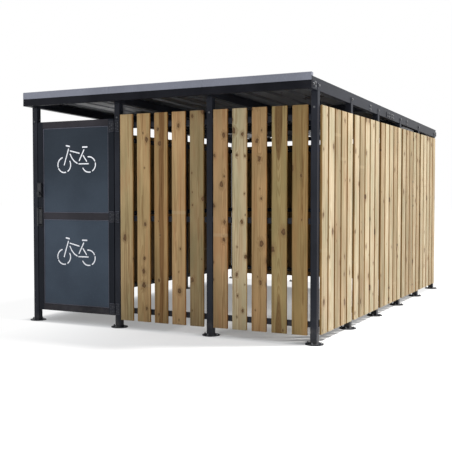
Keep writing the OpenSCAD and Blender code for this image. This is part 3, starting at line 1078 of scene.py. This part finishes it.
white_film = sign_paint()
upright_turn = Matrix(((1, 0, 0, 0), (0, 0, -1, 0), (0, 1, 0, 0), (0, 0, 0, 1)))
for name, aside in SIGN_ASIDE.items():
    low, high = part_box(name)
    base_z = (low.z + high.z) / 2 + SIGN_LIFT - SIGN_HEIGHT / 2
    sign_place = Matrix.Translation((middle(name).x + aside, low.y, base_z)) @ upright_turn
    sign = bmesh.new()
    for path in SIGN_STROKES:
        width = BAR_STROKE if path[0][1] > BAR_HEIGHT else STROKE
        path = [(x * SIGN_WIDE, z * SIGN_TALL) for x, z in path]
        add_slab(sign, strip_outline(path, width), FILM, sign_place)
    finish_piece(name.replace("panel", "sign"), sign, white_film, "door")
print("signs drawn with", len(SIGN_STROKES), "strokes each")

# %% [markdown]
# Hinges, lock and pull get their small parts: screws, welds and pin washers, push buttons,
# a grooved rim on the knob, a latch bolt in the leaf's edge, and the keeper plate it shuts
# against on the post. On the inside a turn button works the lock.

# %% Hinge, pull and lock details
hinge_low, hinge_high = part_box("door_hinges")
PIN = Vector((door_high.x + 4 * MM, front_face - 10 * MM, 0))
leaf_plate_low = hinge_low.x
post_plate_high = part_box("post_hinges")[1].x
mid_z = (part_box("door_panel_lower")[1].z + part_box("door_panel_upper")[0].z) / 2
HINGE_H = 100 * MM
PLATE_WIDE = 48 * MM
SMALL_SCREW = 9 * MM
SEAM = 3 * MM
# Each plate's screws, in mm: in from its free edge, and up from its middle
PLATE_SCREWS = [(14, -32), (34, -23), (14, 0), (34, 9), (14, 32), (34, 23)]
# The washers at the pin: inner and outer radius, and half the thickness
PIN_RING = (6 * MM, 9 * MM, 0.45 * MM)
hinge_zs = [hinge_low.z + HINGE_H / 2, mid_z, hinge_high.z - HINGE_H / 2]
plate_face = front_face - 5 * MM
leaf_screws, post_screws = bmesh.new(), bmesh.new()
leaf_seams, post_seams = bmesh.new(), bmesh.new()
pin_washers = bmesh.new()
inner, outer, half = PIN_RING
ring = [(inner, -half), (outer, -half), (outer, half), (inner, half)]
for z in hinge_zs:
    for aside, rise in PLATE_SCREWS:
        on_leaf, on_post = leaf_plate_low + aside * MM, post_plate_high - aside * MM
        for screws, x in ((leaf_screws, on_leaf), (post_screws, on_post)):
            add_screw(screws, facing((x, plate_face, z + rise * MM), AHEAD), SMALL_SCREW)
    for end in (-1, 1):
        rim = z + end * HINGE_H / 2
        low_z, high_z = sorted((rim, rim + end * SEAM))
        for seams, x in ((leaf_seams, leaf_plate_low), (post_seams, post_plate_high - PLATE_WIDE)):
            far_corner = (x + PLATE_WIDE, front_face, high_z)
            add_box(seams, (x, plate_face + 1 * MM, low_z), far_corner, ease=1.2 * MM)
        place = Matrix.Translation(PIN + Vector((0, 0, z + end * (HINGE_H * 0.2 - 0.5 * MM))))
        add_turned(pin_washers, ring, place, 24)
# The welds take the paler bead coat: painted highlight where the plates' top and bottom edges catch
# the light
finish_piece("hinge_welds_leaf", leaf_seams, bead_coat, "door")
finish_piece("hinge_welds_post", post_seams, bead_coat, "shelter")
finish_piece("hinge_washers", pin_washers, zinc, "shelter")
finish_piece("hinge_screws_leaf", leaf_screws, dark_bolt, "door")
finish_piece("hinge_screws_post", post_screws, dark_bolt, "shelter")

lock_low, lock_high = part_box("door_lock")
lock_x, _, lock_z = middle("door_lock")
LOCK_PROUD = 26 * MM
BUTTON_ROWS = 5
BUTTON_PITCH = 12 * MM
BUTTON = [(4 * MM, 0), (4 * MM, 1.6 * MM), (3.2 * MM, 2.2 * MM), (0, 2.3 * MM)]
case_face = front_face - LOCK_PROUD
top_row = lock_high.z - 20 * MM
buttons = bmesh.new()
for row in range(BUTTON_ROWS):
    for column in (-1, 1):
        spot = (lock_x + column * 9 * MM, case_face, top_row - row * BUTTON_PITCH)
        add_turned(buttons, BUTTON, facing(spot, AHEAD), 18)
finish_piece("lock_buttons", buttons, dull_zinc, "door")

knob_z = lock_z - (lock_high.z - lock_low.z) / 4
rim = bmesh.new()
RIDGES = 20
for k in range(RIDGES):
    turn = Matrix.Rotation(math.tau * k / RIDGES, 4, "Z")
    place = facing((lock_x, case_face, knob_z), AHEAD) @ turn
    far_corner = (18 * MM, 1.3 * MM, 20 * MM)
    add_box(rim, (16.4 * MM, -1.3 * MM, 3 * MM), far_corner, ease=0.5 * MM, place=place)
finish_piece("lock_knob_grip", rim, lock_black, "door")

latch = bmesh.new()
leaf_edge = door_low.x
edge_y = (door_low.y + door_high.y) / 2
add_box(latch, (leaf_edge - 0.8 * MM, edge_y - 11 * MM, lock_z - 80 * MM),
        (leaf_edge, edge_y + 11 * MM, lock_z + 80 * MM), ease=0.3 * MM)
add_box(latch, (leaf_edge - 4 * MM, edge_y - 6 * MM, lock_z - 12 * MM),
        (leaf_edge, edge_y + 6 * MM, lock_z + 12 * MM), ease=1.0 * MM)
finish_piece("lock_forend", latch, zinc, "door")

keeper = bmesh.new()
post_side = post_x[0] + POST / 2
add_box(keeper, (post_side, edge_y - 12 * MM, lock_z - 60 * MM),
        (post_side + 1.2 * MM, edge_y + 14 * MM, lock_z + 60 * MM), ease=0.3 * MM)
finish_piece("lock_keeper", keeper, zinc, "shelter")

inside = bmesh.new()
leaf_back = door_high.y
turn_place = facing((lock_x, leaf_back + 6 * MM, knob_z), (0, 1, 0))
boss = [(15 * MM, 0), (15 * MM, 5 * MM), (13 * MM, 7 * MM), (0, 7 * MM)]
# The turned boss comes before the eased boxes, so each run lists the faces in one order
add_turned(inside, boss, turn_place, 32)
add_box(inside, (lock_x - 20 * MM, leaf_back, lock_z - 70 * MM),
        (lock_x + 20 * MM, leaf_back + 6 * MM, lock_z + 70 * MM), ease=1.5 * MM)
far_corner = (4 * MM, 15 * MM, 20 * MM)
add_box(inside, (-4 * MM, -15 * MM, 6 * MM), far_corner, ease=2.0 * MM, place=turn_place)
finish_piece("lock_inside_turn", inside, lock_black, "door")

pull_x, _, pull_z = middle("door_pull")
pull_screws = bmesh.new()
PULL_SCREW_RISE = 55 * MM
for end in (-1, 1):
    spot = (pull_x, front_face - 4 * MM, pull_z + end * PULL_SCREW_RISE)
    add_screw(pull_screws, facing(spot, AHEAD), SMALL_SCREW)
finish_piece("pull_screws", pull_screws, dull_zinc, "door")
print("door fittings done")

# %% [markdown]
# The floor is a pale studio floor. It keeps the shelter's rendered shadow, and a share of plain
# white seen only by the camera and by reflections lets it run into the white backdrop. The share
# changes by place: painted light that lightens the shadow, and painted shade where it is smaller.
# The world gives even light from all round. One sun lamp with a soft edge stands high, off
# to the right and a little behind, so the long side wall is lit and the front is in shade.

# %% Floor, backdrop and lamps
FLOOR_REACH = 60


def white_for_sight(tree, shaded, share):
    """Adds plain white to what the camera and reflections see."""
    rays = add(tree, "LightPath").outputs
    seen = calc("MAXIMUM", rays["Is Camera Ray"], rays["Is Glossy Ray"])
    seen = calc("MAXIMUM", seen, rays["Is Transmission Ray"])
    white = add(tree, "Emission", {"Color": grey(1.0), "Strength": 1.0}).outputs[0]
    factor = times(seen, share)
    return follow("MixShader", {0: factor, 1: shaded, 2: white})


# How much plain white is laid over the floor, from 0 to 1, as painted light that lightens its
# shadow by place: inside the shelter, ahead of it, more of it ahead on the left, past its left
# wall, behind it, and less inside near the front, which is painted shade
WHITE_INSIDE = 0.29
WHITE_AHEAD = 0.18
WHITE_LEFT = 0.66
WHITE_PAST_LEFT = 0.92
WHITE_BEHIND = 0.85
WHITE_LESS_PAINTED_SHADE = 0.2


def studio_floor():
    """A matt pale floor whose rendered shadow is lightened by place with painted light, and darkened
    inside near the front with painted shade.
    """
    material, tree, shader = new_material("studio_floor")
    fill(tree, shader, {"Base Color": grey(0.86), "Roughness": 0.9, "Specular IOR Level": 0.0})
    x, y = parts_of(add(tree, "TexCoord").outputs["Object"])[:2]
    rear_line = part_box("rear_posts")[1].y
    outside = fade(y, front_face, front_face - 0.1)
    leftward = fade(x, post_x[2], post_x[0] - 0.6)
    ahead = scaled(leftward, WHITE_LEFT, WHITE_AHEAD)
    share = scaled(outside, ahead, WHITE_INSIDE)
    rightward = fade(x, post_x[1] + 0.6, post_x[2] + 0.1)
    near_front = calc("SUBTRACT", fade(y, front_face + 1.2, front_face), outside)
    # Painted shade: less white inside, near the front on the right
    share = calc("SUBTRACT", share, times(times(rightward, near_front), WHITE_LESS_PAINTED_SHADE))
    # Painted light: nearly plain white behind the shelter and past its left wall, clearing its shadow
    # there
    behind = fade(y, rear_line - 0.95, rear_line - 0.65)
    share = calc("MAXIMUM", share, times(behind, WHITE_BEHIND))
    past_left = fade(x, post_x[0], post_x[0] - 0.2)
    share = calc("MAXIMUM", share, times(past_left, WHITE_PAST_LEFT))
    seen = white_for_sight(tree, shader.outputs[0], share)
    fill(tree, tree.nodes["Material Output"], {"Surface": seen})
    return material


floor_shape = bmesh.new()
bmesh.ops.create_grid(floor_shape, x_segments=1, y_segments=1, size=FLOOR_REACH)
floor_mesh = bpy.data.meshes.new("floor")
floor_shape.to_mesh(floor_mesh)
floor_shape.free()
floor_mesh.materials.append(studio_floor())
floor = new_object("floor", floor_mesh)

world = bpy.data.worlds.new("studio")
world.use_nodes = True
bpy.context.scene.world = world
air = world.node_tree.nodes["Background"]
sky_tree = world.node_tree
fill(sky_tree, air, {"Color": (0.93, 0.96, 1.0, 1), "Strength": 0.85})
backdrop = white_for_sight(sky_tree, air.outputs[0], 1.0)
fill(sky_tree, sky_tree.nodes["World Output"], {"Surface": backdrop})


def add_lamp(name, height, bearing, strength, spread, colour):
    """A sun lamp by its height and bearing in degrees; bearing 0 is the shelter's right."""
    data = bpy.data.lights.new(name, "SUN")
    data.energy = strength
    data.angle = math.radians(spread)
    data.color = colour
    lamp = new_object(name, data)
    height, bearing = math.radians(height), math.radians(bearing)
    level = math.cos(height)
    towards = Vector((level * math.cos(bearing), level * math.sin(bearing), math.sin(height)))
    lamp.rotation_euler = towards.to_track_quat("Z", "Y").to_euler()


add_lamp("key_lamp", 54, 34, 5.8, 10, (1.0, 0.975, 0.94))
print("stage is set")
